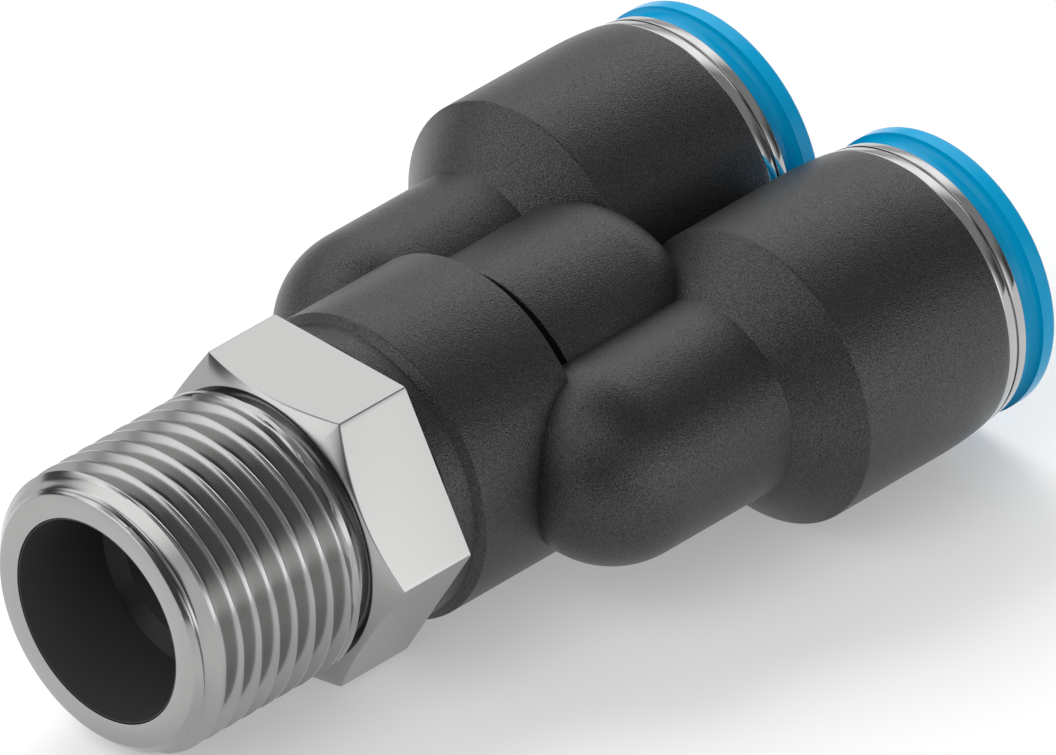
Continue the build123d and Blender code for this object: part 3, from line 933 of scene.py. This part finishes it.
class CONNECTOR_OT_inner(bpy.types.Operator):
    """Finish the inner pieces: O-ring, wire ring, seals, washers and teeth"""
    bl_idname = "connector.inner"
    bl_label = "Inner pieces"

    def execute(self, context):
        # NBR rubber, moulded: near black and matt. POM washer, moulded: off-white, soft sheen.
        # Stainless steel, drawn or stamped: bright grey with a slight blur.
        rubber = plain("nbr_rubber_moulded", "1d1d1d", 0.6)
        washer = plain("natural_pom_moulded", "dcdcd6", 0.4)
        steel = plain("stainless_steel_drawn", "c4c3c1", 0.25, 1.0)
        finish = {"stud_o_ring": rubber, "stud_retaining_ring": steel}
        for word in ("left", "right"):
            finish[f"tube_seal_{word}"] = rubber
            finish[f"seal_washer_{word}"] = washer
            finish[f"grip_teeth_{word}"] = steel
        for node, material in finish.items():
            obj = frame["nodes"][node]
            for place_of in obj.material_slots:
                place_of.material = material
            if not obj.material_slots:
                raise RuntimeError(f"{node} has no material slot")
        return {"FINISHED"}


class CONNECTOR_OT_stage(bpy.types.Operator):
    """Make the floor, the light and the camera"""
    bl_idname = "connector.stage"
    bl_label = "Stage"

    def execute(self, context):
        say = context.scene.connector_stage
        scene = context.scene
        scene.view_settings.view_transform = "Standard"
        floor_z = CAD_BOX[0][2]

        # Floor: matt white board, which turns to plain white away from the object
        made, tree = blank("white_board_matt")
        spot = add(tree, "ShaderNodeTexCoord").outputs["Object"]
        middle = (LAMP_AIM[0], LAMP_AIM[1], floor_z)
        away = add(tree, "ShaderNodeVectorMath", {0: spot, 1: middle}, operation="DISTANCE")
        fade = add(tree, "ShaderNodeMapRange", {
            "Value": away.outputs["Value"], "From Min": FLOOR_FADE[0], "From Max": FLOOR_FADE[1],
        }, interpolation_type="SMOOTHSTEP").outputs[0]
        board = add(tree, "ShaderNodeBsdfDiffuse", {"Color": tuple(say.floor_colour)}).outputs[0]
        white = add(tree, "ShaderNodeEmission", {"Strength": 1.0}).outputs[0]
        lift = maths(tree, "MAXIMUM", fade, maths(tree, "MULTIPLY", seen_rays(tree), say.floor_lift))
        both = add(tree, "ShaderNodeMixShader", {0: lift, 1: board, 2: white}).outputs[0]
        add(tree, "ShaderNodeOutputMaterial", {"Surface": both})
        points = []
        for k in range(FLOOR_SIDES):
            a = 2 * math.pi * k / FLOOR_SIDES
            points.append((LAMP_AIM[0] / MM + FLOOR_R * math.cos(a), FLOOR_R * math.sin(a), floor_z / MM))
        floor = place("floor", mesh_of("floor", points, [list(range(FLOOR_SIDES))]))
        floor.data.materials.append(made)

        # World: a dim room with softboxes for light and mirrors, and plain white where the camera looks
        world = bpy.data.worlds.new("studio")
        scene.world = world
        world.use_nodes = True
        tree = world.node_tree
        tree.nodes.clear()
        ahead = add(tree, "ShaderNodeTexCoord").outputs["Generated"]
        way = add(tree, "ShaderNodeSeparateXYZ", {"Vector": ahead}).outputs
        flat = maths(tree, "SQRT", maths(tree, "ADD", maths(tree, "MULTIPLY", way[0], way[0]),
                                         maths(tree, "MULTIPLY", way[1], way[1])))
        level = say.room_level
        wide, tall = SOFTBOX_EDGE
        for strength, azimuth, half, low, high in SOFTBOXES:
            a = math.radians(azimuth)
            along = maths(tree, "DIVIDE", maths(tree, "ADD", maths(tree, "MULTIPLY", way[0], math.cos(a)),
                                                maths(tree, "MULTIPLY", way[1], math.sin(a))), flat)
            part = maths(tree, "MULTIPLY", say.light_level, strength)
            for value, start, end in (
                (along, math.cos(math.radians(half + wide)), math.cos(math.radians(half - wide))),
                (way[2], math.sin(math.radians(low - tall)), math.sin(math.radians(low + tall))),
                (way[2], math.sin(math.radians(high + tall)), math.sin(math.radians(high - tall))),
            ):
                span = {"Value": value, "From Min": start, "From Max": end}
                edge = add(tree, "ShaderNodeMapRange", span, interpolation_type="SMOOTHSTEP").outputs[0]
                part = maths(tree, "MULTIPLY", part, edge)
            level = maths(tree, "ADD", level, part)
        plain_white = (1.0, 1.0, 1.0, 1.0)
        sky = add(tree, "ShaderNodeBackground", {"Color": plain_white, "Strength": level}).outputs[0]
        bright = add(tree, "ShaderNodeBackground", {"Color": plain_white, "Strength": 1.0}).outputs[0]
        seen = add(tree, "ShaderNodeLightPath").outputs["Is Camera Ray"]
        both = add(tree, "ShaderNodeMixShader", {0: seen, 1: sky, 2: bright}).outputs[0]
        add(tree, "ShaderNodeOutputWorld", {"Surface": both})

        lights = [("key", say.key_power, *KEY_LAMP), ("front", say.front_power, *FRONT_LAMP)]
        for name, power, size, direction in lights:
            lamp = bpy.data.lights.new(name, "AREA")
            lamp.energy = power
            lamp.shape = "SQUARE"
            lamp.size = size
            obj = bpy.data.objects.new(name, lamp)
            obj.visible_glossy = False
            way = Vector(direction).normalized()
            obj.location = Vector(LAMP_AIM) + way * LAMP_DISTANCE
            obj.rotation_mode = "QUATERNION"
            obj.rotation_quaternion = way.to_track_quat("Z", "Y")
            scene.collection.objects.link(obj)

        data = bpy.data.cameras.new("camera")
        data.lens = CAMERA_LENS
        data.sensor_width = CAMERA_SENSOR
        data.clip_start, data.clip_end = CAMERA_CLIP
        camera = bpy.data.objects.new("camera", data)
        back = Vector((
            math.sin(CAMERA_AZIMUTH) * math.cos(CAMERA_ELEVATION),
            -math.cos(CAMERA_AZIMUTH) * math.cos(CAMERA_ELEVATION),
            math.sin(CAMERA_ELEVATION),
        ))
        camera.rotation_mode = "QUATERNION"
        camera.rotation_quaternion = Quaternion(back, CAMERA_ROLL) @ back.to_track_quat("Z", "Y")
        camera.location = (Vector(CAMERA_AIM) + back * CAMERA_DISTANCE) * MM
        scene.collection.objects.link(camera)
        scene.camera = camera
        return {"FINISHED"}


OPERATORS = (
    CONNECTOR_OT_stud, CONNECTOR_OT_body, CONNECTOR_OT_collars,
    CONNECTOR_OT_rings, CONNECTOR_OT_inner, CONNECTOR_OT_stage,
)


class CONNECTOR_PT_panel(bpy.types.Panel):
    bl_idname = "CONNECTOR_PT_panel"
    bl_label = "Tubing Y connector"
    bl_space_type = "VIEW_3D"
    bl_region_type = "UI"
    bl_category = "Connector"

    def draw(self, context):
        for name in SETTINGS:
            group = getattr(context.scene, name)
            for key in group.__annotations__:
                self.layout.prop(group, key)
        for operator in OPERATORS:
            self.layout.operator(operator.bl_idname)


SETTINGS = {
    "connector_stud": StudSettings, "connector_body": BodySettings,
    "connector_ports": PortSettings, "connector_stage": StageSettings,
}
CLASSES = tuple(SETTINGS.values()) + OPERATORS + (CONNECTOR_PT_panel,)


def register():
    for made in CLASSES:
        bpy.utils.register_class(made)
    for name, group in SETTINGS.items():
        setattr(bpy.types.Scene, name, bpy.props.PointerProperty(type=group))


def unregister():
    for name in SETTINGS:
        delattr(bpy.types.Scene, name)
    for made in reversed(CLASSES):
        bpy.utils.unregister_class(made)


def main():
    register()
    bpy.ops.connector.stud()
    bpy.ops.connector.body()
    bpy.ops.connector.collars()
    bpy.ops.connector.rings()
    bpy.ops.connector.inner()
    bpy.ops.connector.stage()


if __name__ == "__main__":
    main()
